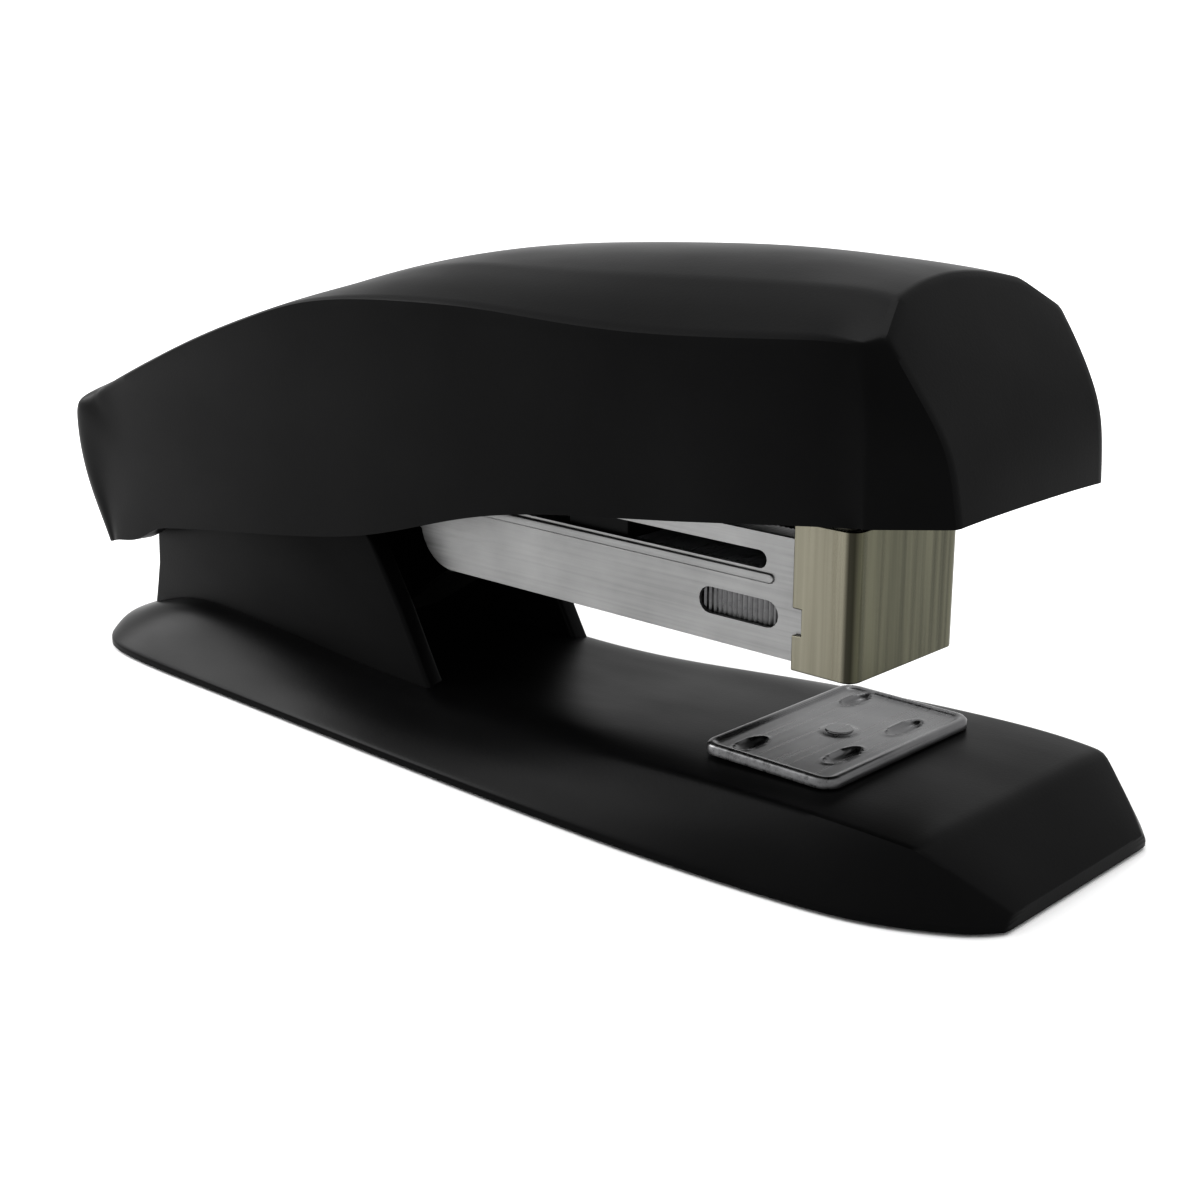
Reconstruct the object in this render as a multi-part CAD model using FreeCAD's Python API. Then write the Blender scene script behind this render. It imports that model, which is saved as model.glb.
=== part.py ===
import FreeCAD, Part
import math
import os

# A half-strip desk stapler. Millimetres, +Z up, +X towards the nose, Y across.
# The origin is the centre of the footprint, on the surface the stapler stands on.

# ---- driving dimensions ------------------------------------------------------
LENGTH = 117.2              # rear of the cover to the front of the base
FRONT_X = LENGTH / 2        # front edge of the base
REAR_X = -LENGTH / 2        # rear of the cover

PIN_X, PIN_Z = -43.6, 23.5  # axis of the hinge pin, which runs along Y
PIN_R = 1.5
PIN_HEAD_R = 2.6
EYE_R = 4.6                 # rounded sheet ends round the pin
RUNNING = 0.05              # radial clearance where something turns

WALL = 1.8                  # moulded plastic wall
SHEET = 0.4                 # magazine sheet
ARM_SHEET = 0.8             # pressing arm sheet

SOLE_TOP = 1.4              # rubber sole, from the ground up
RIM_Z = 0.3                 # lower edge of the base shell
CHEEK_IN, CHEEK_OUT = 8.9, 11.0     # hinge cheeks, half widths
WEB_TOP = 18.45             # stop that the magazine's heel rests on
PLATE_TOP = 2.4             # steel plate inside the base
PLATE_SHEET = 0.9
SCREW_R = 0.9
SCREW_TIP = 4.2
BASE_SCREW_X = (-38.0, 16.0)
SCREW_BOSS_R = 2.6

COVER_HALF = 14.6           # cover, half width at the middle
COVER_LOBE_R = 15.0         # rear lobe of the cover, about the hinge pin
LOBE_START, LOBE_END = 236, 166     # degrees, from the lobe's tip up to the cover's rear

STAPLE_HALF = 6.45          # a staple is 12.9 wide over its legs
STAPLE_WIRE = 0.5
STAPLE_LEG = 6.0
CHANNEL_HALF = 6.95         # outside of the magazine channel
CASING_HALF = 7.4           # outside of the front casing
CASING_FRONT = 41.4         # front face of the casing
FLOOR_Z = 15.2              # underside of the magazine channel
CHANNEL_TOP = 25.4
CASING_Z = 14.6             # lower edge of the casing
CASING_TOP = 27.0
CHAMBER_FRONT = 39.2        # front end of the rail and the staples

CHANNEL_FRONT = CASING_FRONT - 1.2
ARM_RISE_X = -11.5          # the channel's arms rise behind this
ARM_LOW = 19.3
SLOT_UPPER = (-5.0, 32.4, 22.35, 23.85)     # x from, to, z from, to
SLOT_WINDOW = (25.4, 33.7, 17.5, 19.8)
RIVET_X = (-4.0, 9.0)
RIVET_R = 0.9

RAIL_REAR = -5.6
RAIL_HALF = 5.7
RAIL_SHEET = 0.5
RAIL_TOP = 21.7

BRACKET_SHEET = 0.8
ROD_Z = 18.5                # guide rod inside the rail
ROD_R = 0.8
COIL_R = 2.2                # outside of the pusher's spring and of its hub

STRIP_REAR = 17.0           # rear end of the staple strip
PUSHER_LENGTH = 7.0
PUSHER_HUB = 4.0            # length of the block that rides on the guide rod
PUSHER_GAP = 0.15
TONGUE_HALF = 1.1           # reaches down through the rail's slot

ANVIL_X = 35.2              # turning centre of the anvil
ANVIL_HALF_X, ANVIL_HALF_Y = 6.7, 10.4
ANVIL_SEAT = 6.7            # top of the boss that the anvil rests on
ANVIL_SHEET = 0.9
GROOVE_OFFSET = 3.6         # each row of grooves from the turning centre
SEAT_R = 4.0                # boss under the middle of the anvil
POST_R = 2.2
NECK_R = 1.2                # riveted neck of the post, through the anvil
TAIL_R = 1.1                # tail of the post, in the button
BUTTON_R = 5.0
BUTTON_Z0, BUTTON_Z1 = 0.5, 1.9

COVER_SCREW_X = (-12.0, 18.0)
COVER_BOSS_R = 3.0
COVER_BOSS_TOP = (41.6, 45.2)

ARM_REAR_X, ARM_REAR_Z = -49.0, 28.8        # top face of the arm, rear end
ARM_FRONT_X, ARM_FRONT_Z = 41.0, 38.9       # and front end
ARM_HALF = 8.5
LEAF = 0.5                  # leaf spring between the arm and the magazine
SPRING_RIVET_X = (-30.0, -24.0)

DRIVER_X = 40.05            # middle of the blade, at its lower edge
DRIVER_Z0, DRIVER_Z1 = 24.9, 37.6
DRIVER_SHEET = 0.6
DRIVER_RIVET_Y, DRIVER_RIVET_Z = 3.4, 35.6

TILT = math.radians(3.5)    # the driver blade leans back at rest, upright at mid stroke


# ---- small helpers -----------------------------------------------------------
def vector(x, y, z):
    return FreeCAD.Vector(x, y, z)


def prism(points, direction):
    """A closed outline of 3-D points, filled and pushed along a direction."""
    wire = Part.makePolygon(points + [points[0]])
    return Part.Face(wire).extrude(direction)


def prism_y(outline, y0, y1):
    """An outline of (x, z) points, solid from y0 to y1."""
    return prism([vector(x, y0, z) for x, z in outline], vector(0, y1 - y0, 0))


def prism_z(outline, z0, z1):
    """An outline of (x, y) points, solid from z0 to z1."""
    return prism([vector(x, y, z0) for x, y in outline], vector(0, 0, z1 - z0))


def block(x0, x1, y0, y1, z0, z1):
    return Part.makeBox(x1 - x0, y1 - y0, z1 - z0, vector(x0, y0, z0))


def plate(x0, x1, half, z0, z1):
    """A block centred on Y."""
    return block(x0, x1, -half, half, z0, z1)


def bar_y(x, z, radius, y0, y1):
    return Part.makeCylinder(radius, y1 - y0, vector(x, y0, z), vector(0, 1, 0))


def bar_x(y, z, radius, x0, x1):
    return Part.makeCylinder(radius, x1 - x0, vector(x0, y, z), vector(1, 0, 0))


def bar_z(x, y, radius, z0, z1):
    return Part.makeCylinder(radius, z1 - z0, vector(x, y, z0))


def mirrored(shape):
    return shape.mirror(vector(0, 0, 0), vector(0, 1, 0))


def both_sides(shape):
    """The shape and its mirror image across the middle plane, as a list."""
    return [shape, mirrored(shape)]


def join(shapes):
    result = shapes[0]
    for shape in shapes[1:]:
        result = result.fuse(shape)
    return result.removeSplitter()


def cut(shape, tools):
    for tool in tools:
        shape = shape.cut(tool)
    return shape


def slot_outline(x0, x1, z0, z1):
    """A slot with a half round at each end, as (x, z) points."""
    radius = (z1 - z0) / 2
    middle = (z0 + z1) / 2
    steps = 8
    points = []
    for centre, start in ((x1 - radius, -math.pi / 2), (x0 + radius, math.pi / 2)):
        for step in range(steps + 1):
            angle = start + math.pi * step / steps
            points.append((centre + radius * math.cos(angle),
                           middle + radius * math.sin(angle)))
    return points


def slot_cut(x0, x1, z0, z1):
    """A slot through both sides of the magazine."""
    return prism_y(slot_outline(x0, x1, z0, z1), -2 * CASING_HALF, 2 * CASING_HALF)


def arc_points(x, z, radius, start, end, steps):
    """(x, z) points on an arc about (x, z), angles in degrees."""
    points = []
    for step in range(steps + 1):
        angle = math.radians(start + (end - start) * step / steps)
        points.append((x + radius * math.cos(angle), z + radius * math.sin(angle)))
    return points


def leaf(outline, thickness, half):
    """A strip of spring steel bent along (x, z) points, centred on Y."""
    upper = []
    lower = []
    for index, (x, z) in enumerate(outline):
        before = outline[max(index - 1, 0)]
        after = outline[min(index + 1, len(outline) - 1)]
        run = math.hypot(after[0] - before[0], after[1] - before[1])
        shift_x = -(after[1] - before[1]) / run * thickness
        shift_z = (after[0] - before[0]) / run * thickness
        lower.append((x, z))
        upper.append((x + shift_x, z + shift_z))
    return prism_y(lower + upper[::-1], -half, half)


def save(name, shapes):
    """Write one node, from one solid or from a list of separate solids."""
    solids = []
    for shape in shapes if isinstance(shapes, list) else [shapes]:
        solids += shape.Solids
    for solid in solids:
        if not solid.isValid() or solid.Volume <= 0:
            raise ValueError(name + " is not a valid solid")
    whole = solids[0] if len(solids) == 1 else Part.makeCompound(solids)
    whole.exportStep("parts/" + name + ".step")
    box = whole.BoundBox
    print("%-18s %d solid, x %.1f..%.1f y %.1f..%.1f z %.1f..%.1f" % (
        name, len(solids), box.XMin, box.XMax, box.YMin, box.YMax, box.ZMin, box.ZMax))


# ---- base --------------------------------------------------------------------
# Sections along the base: x, half width at the ground, height of the valley
# where the skirt meets the upper wall, height of the top.
BASE_SECTIONS = [
    (-55.6, 9.0, 1.4, 1.7),
    (-53.5, 13.6, 2.4, 2.8),
    (-49.5, 16.4, 3.8, 4.3),
    (-45.5, 17.2, 5.2, 5.8),
    (-40.0, 17.6, 6.1, 6.9),
    (-33.0, 17.8, 5.8, 6.7),
    (-16.0, 18.2, 4.3, 5.3),
    (-2.0, 18.6, 3.8, 4.9),
    (9.0, 18.8, 4.4, 5.4),
    (20.0, 18.9, 5.3, 6.2),
    (30.0, 18.8, 5.8, 6.6),
    (41.0, 18.0, 6.0, 6.7),
    (48.0, 17.1, 6.0, 6.6),
    (52.4, 15.4, 5.6, 6.2),
    (56.4, 13.1, 3.1, 3.4),
    (57.6, 11.7, 2.2, 2.4),
    (FRONT_X, 10.6, 1.5, 1.6),
]
VALLEY_HALF = 13.2
PLATFORM_HALF = 11.6
LIP_Z = 1.6                 # upright lip round the foot of the skirt


def base_section(station, inset):
    """A closed section across the base. inset is the wall taken off each face."""
    x, half, valley, top = station
    spread = min(1.0, half / VALLEY_HALF * 0.92)
    lip = min(LIP_Z, valley * 0.7)
    half_points = [
        (half - inset, RIM_Z if inset == 0 else -1.0),
        (half - inset, lip - 0.35 * inset),
        (VALLEY_HALF * spread - inset, valley - inset),
        (PLATFORM_HALF * spread - inset, top - inset),
    ]
    points = [vector(x, y, z) for y, z in half_points]
    points += [vector(x, -y, z) for y, z in half_points[::-1]]
    return Part.makePolygon(points + [points[0]])


def base_body(stations, inset):
    wires = [base_section(station, inset) for station in stations]
    return Part.makeLoft(wires, True, True)


def base_cavity():
    """The hollow underside. Its two ends keep a wall."""
    inner = [row for row in BASE_SECTIONS if -50 < row[0] < 50]
    return base_body(inner, WALL)


def hinge_cheek():
    """The near cheek, a rib that rises from the base to the hinge pin."""
    outline = [(-4.2, 3.4), (-11.8, 17.9), (-17.0, 22.0), (-30.0, 25.5)]
    outline += arc_points(PIN_X, PIN_Z, EYE_R + 0.6, 60, 185, 8)
    outline += [(-46.6, 12.6), (-49.3, 3.4)]
    return prism_y(outline, -CHEEK_OUT, -CHEEK_IN)


def base_shell():
    shell = base_body(BASE_SECTIONS, 0).cut(base_cavity())
    web = plate(-47.9, -45.9, CHEEK_IN + 0.1, 3.9, WEB_TOP)
    seat = bar_z(ANVIL_X, 0, SEAT_R, base_top(ANVIL_X) - WALL + 0.1, ANVIL_SEAT)
    bosses = [bar_z(x, 0, SCREW_BOSS_R, PLATE_TOP, base_top(x) - 0.5) for x in BASE_SCREW_X]
    shell = join([shell, seat, web] + both_sides(hinge_cheek()) + bosses)
    holes = [bar_y(PIN_X, PIN_Z, PIN_R, -CHEEK_OUT - 1, CHEEK_OUT + 1)]
    holes += [bar_z(ANVIL_X, 0, POST_R + RUNNING, -1, ANVIL_SEAT + 1)]
    holes += [bar_z(x, 0, SCREW_R, -1, SCREW_TIP) for x in BASE_SCREW_X]
    return cut(shell, holes)


def base_plate():
    body = plate(-46.0, 47.0, 9.0, PLATE_TOP - PLATE_SHEET, PLATE_TOP)
    holes = [bar_z(ANVIL_X, 0, BUTTON_R + 0.5, 0, 4)]
    holes += [bar_z(x, 0, SCREW_R, 0, 4) for x in BASE_SCREW_X]
    return cut(body, holes)


def screw(x, head_z, head_r, head_height, shank_r, tip_z):
    """A pan-head screw on the middle plane, its head below head_z, pointing up."""
    head = bar_z(x, 0, head_r, head_z - head_height, head_z)
    shank = bar_z(x, 0, shank_r, head_z - 0.1, tip_z)
    recess = plate(x - 0.25, x + 0.25, head_r * 0.75, head_z - head_height - 1,
                   head_z - head_height * 0.6)
    return join([head, shank]).cut(recess)


def base_screws():
    under = PLATE_TOP - PLATE_SHEET
    return [screw(x, under, 1.9, 0.9, SCREW_R, SCREW_TIP) for x in BASE_SCREW_X]


def base_sole():
    """Rubber pad inside the rim, with a hole for the button and for each screw."""
    inset = 3.4
    outline = []
    for x, half, valley, top in BASE_SECTIONS:
        if -49 < x < 45:
            outline.append((x, half - inset))
    outline += [(x, -y) for x, y in outline[::-1]]
    body = prism_z(outline, 0, SOLE_TOP)
    pockets = [bar_z(x, 0, 2.3, 0.4, 4) for x in BASE_SCREW_X]
    return cut(body, [bar_z(ANVIL_X, 0, BUTTON_R + 0.6, -1, 4)] + pockets)


def hinge_pin():
    shank = bar_y(PIN_X, PIN_Z, PIN_R, -CHEEK_OUT, CHEEK_OUT + 0.7)
    head = bar_y(PIN_X, PIN_Z, PIN_HEAD_R, -CHEEK_OUT - 0.7, -CHEEK_OUT)
    return join([shank, head])


def hinge_pin_clip():
    disc = bar_y(PIN_X, PIN_Z, PIN_HEAD_R + 0.2, CHEEK_OUT, CHEEK_OUT + 0.4)
    return disc.cut(bar_y(PIN_X, PIN_Z, PIN_R, CHEEK_OUT - 1, CHEEK_OUT + 2))


def lift_spring():
    """A leaf that stands on the base and holds up the channel's rear end."""
    foot = [(x, base_top(x) + 0.1) for x in (-31.0, -22.0)]
    outline = foot + [(-8.4, 13.6), (-6.6, 14.3), (-4.6, 14.4)]
    return leaf(outline, 0.4, 4.0)


# ---- anvil -------------------------------------------------------------------
def groove(x, y_near, y_far):
    """A shallow rounded crimping groove in the anvil, running along Y."""
    top = ANVIL_SEAT + ANVIL_SHEET
    radius = 1.0
    lift = 0.55
    return bar_y(x, top + lift, radius, min(y_near, y_far), max(y_near, y_far))


def anvil_plate():
    corner = 1.6
    x, y = ANVIL_HALF_X, ANVIL_HALF_Y
    outline = [(ANVIL_X + a, b) for a, b in (
        (-x, -y + corner), (-x + corner, -y), (x - corner, -y), (x, -y + corner),
        (x, y - corner), (x - corner, y), (-x + corner, y), (-x, y - corner))]
    body = prism_z(outline, ANVIL_SEAT, ANVIL_SEAT + ANVIL_SHEET)
    tools = []
    for side in (-1, 1):
        tools.append(groove(ANVIL_X + GROOVE_OFFSET, side * 2.2, side * 6.6))
        tools.append(groove(ANVIL_X - GROOVE_OFFSET, side * 5.6, side * 9.4))
    tools.append(bar_z(ANVIL_X, 0, NECK_R, ANVIL_SEAT - 1, ANVIL_SEAT + 2))
    return cut(body, tools)


def anvil_post():
    """Post under the plate, with a riveted neck above and a tail for the button."""
    neck = bar_z(ANVIL_X, 0, NECK_R, ANVIL_SEAT - 0.1, ANVIL_SEAT + ANVIL_SHEET)
    shank = bar_z(ANVIL_X, 0, POST_R, BUTTON_Z1 + RUNNING, ANVIL_SEAT)
    tail = bar_z(ANVIL_X, 0, TAIL_R, BUTTON_Z0 + 0.3, BUTTON_Z1 + 0.2)
    return join([neck, shank, tail])


def anvil_button():
    disc = bar_z(ANVIL_X, 0, BUTTON_R, BUTTON_Z0, BUTTON_Z1)
    dish = Part.makeSphere(14.0, vector(ANVIL_X, 0, BUTTON_Z0 - 13.6))
    return cut(disc, [dish, bar_z(ANVIL_X, 0, TAIL_R + RUNNING, 0, 3)])


def sleeve_z(x, low, high, inner_low, inner_high, wall):
    """The envelope of a conical coil spring standing on Z."""
    outer = Part.makeCone(inner_low + wall, inner_high + wall, high - low, vector(x, 0, low))
    inner = Part.makeCone(inner_low, inner_high, high - low, vector(x, 0, low))
    return outer.cut(inner)


def anvil_spring():
    skin = base_top(ANVIL_X) - WALL
    return sleeve_z(ANVIL_X, BUTTON_Z1 + 0.05, skin - 0.05, 3.6, 2.7, 0.6)


def base_top(x):
    """Height of the base's top at x, between the sections."""
    for first, second in zip(BASE_SECTIONS, BASE_SECTIONS[1:]):
        if first[0] <= x <= second[0]:
            share = (x - first[0]) / (second[0] - first[0])
            return first[3] + share * (second[3] - first[3])
    raise ValueError("x is off the base")


# ---- magazine ----------------------------------------------------------------
def magazine_side_outline():
    outline = [(CHANNEL_FRONT, FLOOR_Z), (-5.0, FLOOR_Z)]
    outline += arc_points(-5.0, FLOOR_Z + 4.2, 4.2, 262, 190, 5)
    outline += [(ARM_RISE_X, ARM_LOW + 0.5), (-36.0, ARM_LOW)]
    outline += [(-43.5, 18.6), (-47.9, 18.6)]
    outline += arc_points(PIN_X, PIN_Z, EYE_R, 190, 90, 6)
    outline += [(-34.0, CHANNEL_TOP + 0.6), (-24.0, CHANNEL_TOP), (CHANNEL_FRONT, CHANNEL_TOP)]
    return outline


def magazine_channel():
    side = prism_y(magazine_side_outline(), -CHANNEL_HALF, -CHANNEL_HALF + SHEET)
    floor = plate(RAIL_REAR, CHANNEL_FRONT, CHANNEL_HALF - SHEET / 2, FLOOR_Z, FLOOR_Z + SHEET)
    bridge = plate(-24.0, -12.0, CHANNEL_HALF - SHEET / 2, CHANNEL_TOP - SHEET, CHANNEL_TOP)
    body = join([floor, bridge] + both_sides(side))
    mouth = plate(CHAMBER_FRONT, CASING_FRONT, STAPLE_HALF + 0.1, 0, FLOOR_Z + 2)
    holes = [mouth, slot_cut(*SLOT_UPPER), slot_cut(*SLOT_WINDOW)]
    holes.append(bar_y(PIN_X, PIN_Z, PIN_R + RUNNING, -9, 9))
    holes += [bar_z(x, 0, 1.0, FLOOR_Z - 1, FLOOR_Z + 1) for x in RIVET_X]
    return cut(body, holes)


def front_casing():
    """A U of plated sheet round the front of the channel, open below."""
    rear = CASING_FRONT - 6.0
    skin = CASING_HALF - CHANNEL_HALF
    outer = plate(rear, CASING_FRONT, CASING_HALF, CASING_Z, CASING_TOP)
    edges = [edge for edge in outer.Edges
             if abs(edge.CenterOfMass.x - CASING_FRONT) < 0.01
             and abs(abs(edge.CenterOfMass.y) - CASING_HALF) < 0.01]
    outer = outer.makeFillet(1.1, edges)
    inner = plate(rear - 1, CASING_FRONT - 0.6, CASING_HALF - skin, 0, 40)
    tab = block(rear - 1, rear + 0.9, -9, 9, 17.6, 19.8)
    return cut(outer, [inner, tab])


def staple_rail():
    """Inverted channel that the staples straddle, slotted for the pusher's tongue."""
    bottom = FLOOR_Z + SHEET
    outer = plate(RAIL_REAR, CHAMBER_FRONT, RAIL_HALF, bottom, RAIL_TOP)
    inner = plate(RAIL_REAR - 1, FRONT_X, RAIL_HALF - RAIL_SHEET, 0, RAIL_TOP - RAIL_SHEET)
    tongue_slot = plate(RAIL_REAR - 1, 34.0, TONGUE_HALF + 0.2, 20, 23)
    foot = plate(RAIL_REAR + 0.1, 12.0, RAIL_HALF, bottom, bottom + RAIL_SHEET)
    body = join([outer.cut(inner), foot]).cut(tongue_slot)
    return cut(body, [bar_z(x, 0, 1.0, 0, 17) for x in RIVET_X])


def rail_rivets():
    rivets = []
    for x in RIVET_X:
        shank = bar_z(x, 0, 1.0, FLOOR_Z - 0.2, FLOOR_Z + SHEET + RAIL_SHEET + 0.2)
        head = bar_z(x, 0, 1.7, FLOOR_Z - 0.35, FLOOR_Z)
        rivets.append(join([shank, head]))
    return rivets


def hinge_spacer():
    reach = CHANNEL_HALF - SHEET
    tube = bar_y(PIN_X, PIN_Z, PIN_HEAD_R, -reach, reach)
    return tube.cut(bar_y(PIN_X, PIN_Z, PIN_R + RUNNING, -9, 9))


def rod_bracket():
    """End plate across the rear of the rail, where the rod is headed over."""
    x = RAIL_REAR
    bottom = FLOOR_Z + SHEET + 0.1
    body = plate(x - BRACKET_SHEET, x, STAPLE_HALF, bottom, 24.6)
    foot = plate(x - 2.8, x, 3.0, bottom, bottom + 0.7)
    return join([body, foot]).cut(bar_x(0, ROD_Z, ROD_R, x - 4, x + 1))


def guide_rod():
    rear = RAIL_REAR - BRACKET_SHEET
    shank = bar_x(0, ROD_Z, ROD_R, rear, CHAMBER_FRONT - 1.0)
    head = bar_x(0, ROD_Z, 1.5, rear - 0.6, rear)
    return join([shank, head])


def pusher_front():
    return STRIP_REAR - PUSHER_GAP


def pusher_spring():
    """Envelope of the coil on the guide rod, bracket to pusher."""
    start = RAIL_REAR + 0.05
    end = pusher_front() - PUSHER_HUB - 0.05
    outer = bar_x(0, ROD_Z, COIL_R, start, end)
    return outer.cut(bar_x(0, ROD_Z, COIL_R - 0.6, start - 1, end + 1))


def staple_strip():
    """Glued strip of staples: one solid whose upper face shows the wires."""
    clearance = 0.05
    low = RAIL_TOP + clearance + STAPLE_WIRE - STAPLE_LEG
    high = RAIL_TOP + clearance + STAPLE_WIRE
    front = CHAMBER_FRONT
    outer = plate(STRIP_REAR, front, STAPLE_HALF, low, high)
    inner = plate(STRIP_REAR - 1, front + 1, STAPLE_HALF - 0.65, low - 1, high - STAPLE_WIRE)
    body = outer.cut(inner)
    pitch = 0.7
    count = int((front - STRIP_REAR) / pitch)
    for number in range(1, count):
        x = STRIP_REAR + number * pitch
        body = body.cut(plate(x - 0.06, x + 0.06, STAPLE_HALF + 1, high - 0.12, high + 1))
    return body


# ---- pusher ------------------------------------------------------------------
def staple_pusher():
    """Saddle over the rail, with a tongue down to a block on the guide rod."""
    front = pusher_front()
    rear = front - PUSHER_LENGTH
    gap = 0.1
    outer = plate(rear, front, STAPLE_HALF - 0.05, 16.6, RAIL_TOP + 2.4)
    inner = plate(rear - 1, front + 1, RAIL_HALF + gap, 0, RAIL_TOP + gap)
    tongue = plate(front - PUSHER_HUB, front, TONGUE_HALF, ROD_Z, RAIL_TOP + 1)
    hub = bar_x(0, ROD_Z, COIL_R, front - PUSHER_HUB, front)
    body = join([outer.cut(inner), tongue, hub])
    relief = plate(rear - 1, front - PUSHER_HUB, TONGUE_HALF, ROD_Z - 2, RAIL_TOP + 3)
    bore = bar_x(0, ROD_Z, ROD_R + RUNNING, rear - 1, front + 1)
    return cut(body, [relief, bore])


# ---- cover and pressing arm --------------------------------------------------
COVER_FACET = [(44.2, 46.6), (51.0, 36.1), (52.3, 30.4)]    # nose, top to bottom
COVER_BOTTOM = [(8.1, 24.2), (-9.8, 19.1), (-41.2, 14.2), (-48.2, 11.5)]
COVER_TOP = [(-57.8, 27.4), (-49.2, 31.1), (-38.5, 35.0), (-28.4, 38.2), (-10.4, 43.5),
             (8.8, 46.4), (30.0, 47.5), (44.2, 46.6)]
SHOULDER_Z = 41.0           # where the side wall turns into the top bevel
BEVEL_TOP_Z = 44.6
BEVEL_TOP_HALF = 8.0
CROWN_Z = 47.6
BACK_OPENING_Z = 21.5       # the rear wall stops here, above the hinge cheeks


def cover_profile(inset):
    """Side view of the cover as a face in the XZ plane. The inside is faceted."""
    curve = Part.BSplineCurve()
    curve.interpolate([vector(x, 0, z) for x, z in COVER_TOP])
    top = curve.toShape()
    lobe = arc_points(PIN_X, PIN_Z, COVER_LOBE_R, LOBE_START, LOBE_END, 10)
    line = [vector(x, 0, z) for x, z in COVER_FACET + COVER_BOTTOM + lobe + [COVER_TOP[0]]]
    if inset == 0:
        runs = [Part.makeLine(start, end) for start, end in zip(line, line[1:])]
        return Part.Face(Part.Wire([top] + runs))
    polygon = Part.makePolygon(top.discretize(14) + line[1:])
    sharp_corners = 2
    return Part.Face(polygon).makeOffset2D(-inset, sharp_corners)


def cover_plan(inset):
    """Half widths along the cover, as (x, y) points all round."""
    rear = REAR_X
    half = [(rear, 11.8), (rear + 0.5, 12.8), (rear + 1.8, 13.3), (rear + 14.0, 14.1),
            (rear + 35.0, COVER_HALF), (46.6, COVER_HALF - 0.4), (52.3, 10.5)]
    points = [(x, y - inset) for x, y in half]
    return points + [(x, -y) for x, y in points[::-1]]


def cover_section(inset):
    """Cross-section of the cover, as (y, z) points all round."""
    radius = 0.5 * (BEVEL_TOP_HALF ** 2 / (CROWN_Z - BEVEL_TOP_Z) + CROWN_Z - BEVEL_TOP_Z)
    sweep = math.degrees(math.asin(BEVEL_TOP_HALF / radius))
    crown = arc_points(0, CROWN_Z - radius, radius, 90 - sweep, 90 + sweep, 8)
    right = [(COVER_HALF, 0), (COVER_HALF - 0.6, SHOULDER_Z)]
    left = [(-y, z) for y, z in right[::-1]]
    share = 1 - inset / COVER_HALF
    return [(y * share, z - inset if z > 1 else z) for y, z in right + crown + left]


def cover_envelope(inset):
    body = cover_profile(inset).extrude(vector(0, 2 * FRONT_X, 0))
    body.translate(vector(0, -FRONT_X, 0))
    plan = prism_z(cover_plan(inset), 0, 60)
    points = [vector(-80, y, z) for y, z in cover_section(inset)]
    section = prism(points, vector(160, 0, 0))
    return body.common(plan).common(section)


def cover_shell():
    outer = cover_envelope(0)
    inner = cover_envelope(WALL)
    shell = outer.cut(inner)
    for drop in (2.2, 4.4):
        lower = inner.copy()
        lower.translate(vector(0, 0, -drop))
        shell = shell.cut(lower)
    half = CHEEK_OUT + 0.6
    back = block(REAR_X - 1, PIN_X - 2, -half, half, 0, BACK_OPENING_Z)
    shell = shell.cut(back)
    bosses = []
    for x, top in zip(COVER_SCREW_X, COVER_BOSS_TOP):
        boss = bar_z(x, 0, COVER_BOSS_R, arm_top(x) - 1, top).cut(beyond_arm_top(0, 0.02))
        bosses.append(boss.cut(bar_z(x, 0, SCREW_R + 0.02, 0, arm_top(x) + 4.0)))
    return join([shell] + bosses)


def arm_top(x):
    share = (x - ARM_REAR_X) / (ARM_FRONT_X - ARM_REAR_X)
    return ARM_REAR_Z + share * (ARM_FRONT_Z - ARM_REAR_Z)


def beyond_arm_top(far_z, room):
    """Everything between the arm's top plane, raised by room, and the level far_z."""
    x0, x1 = -70, 70
    outline = [(x0, far_z), (x1, far_z), (x1, arm_top(x1) + room), (x0, arm_top(x0) + room)]
    return prism_y(outline, -20, 20)


def arm_web():
    """The arm's top plate, an even sheet that slopes up to the nose."""
    x0, x1 = ARM_REAR_X, ARM_FRONT_X
    outline = [(x0, arm_top(x0)), (x1, arm_top(x1)),
               (x1, arm_top(x1) - ARM_SHEET), (x0, arm_top(x0) - ARM_SHEET)]
    return prism_y(outline, -ARM_HALF, ARM_HALF)


def arm_flange():
    outline = [(ARM_REAR_X, arm_top(ARM_REAR_X)), (ARM_FRONT_X, arm_top(ARM_FRONT_X)),
               (ARM_FRONT_X, 33.6), (23.0, 30.0), (-10.0, 24.0), (-34.0, 20.5)]
    outline += arc_points(PIN_X, PIN_Z, EYE_R, 300, 190, 6)
    outline += [(ARM_REAR_X, 26.0)]
    return prism_y(outline, -ARM_HALF, -ARM_HALF + ARM_SHEET)


def driver_frame(shape):
    """Lean a shape about the foot of the driver blade."""
    shape.rotate(vector(DRIVER_X, 0, DRIVER_Z0), vector(0, 1, 0), -math.degrees(TILT))
    return shape


def arm_lug():
    """The arm's front end, folded down behind the driver blade."""
    x = DRIVER_X - DRIVER_SHEET / 2
    lug = plate(x - ARM_SHEET, x, 6.2, 33.4, 39.5)
    return driver_frame(lug)


def pressing_arm():
    body = join([arm_web(), arm_lug()] + both_sides(arm_flange()))
    holes = [beyond_arm_top(60, 0), bar_y(PIN_X, PIN_Z, PIN_R + RUNNING, -20, 20)]
    holes += [bar_z(x, 0, SCREW_R + 0.1, 20, 50) for x in COVER_SCREW_X]
    holes += [bar_z(x, 0, RIVET_R, 20, 50) for x in SPRING_RIVET_X]
    holes += driver_rivet_bars(RIVET_R)
    return cut(body, holes)


def driver_rivet_bars(radius):
    bars = []
    for side in (-1, 1):
        start, end = DRIVER_X - 1.4, DRIVER_X + DRIVER_SHEET / 2
        bars.append(driver_frame(bar_x(side * DRIVER_RIVET_Y, DRIVER_RIVET_Z, radius, start, end)))
    return bars


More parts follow.
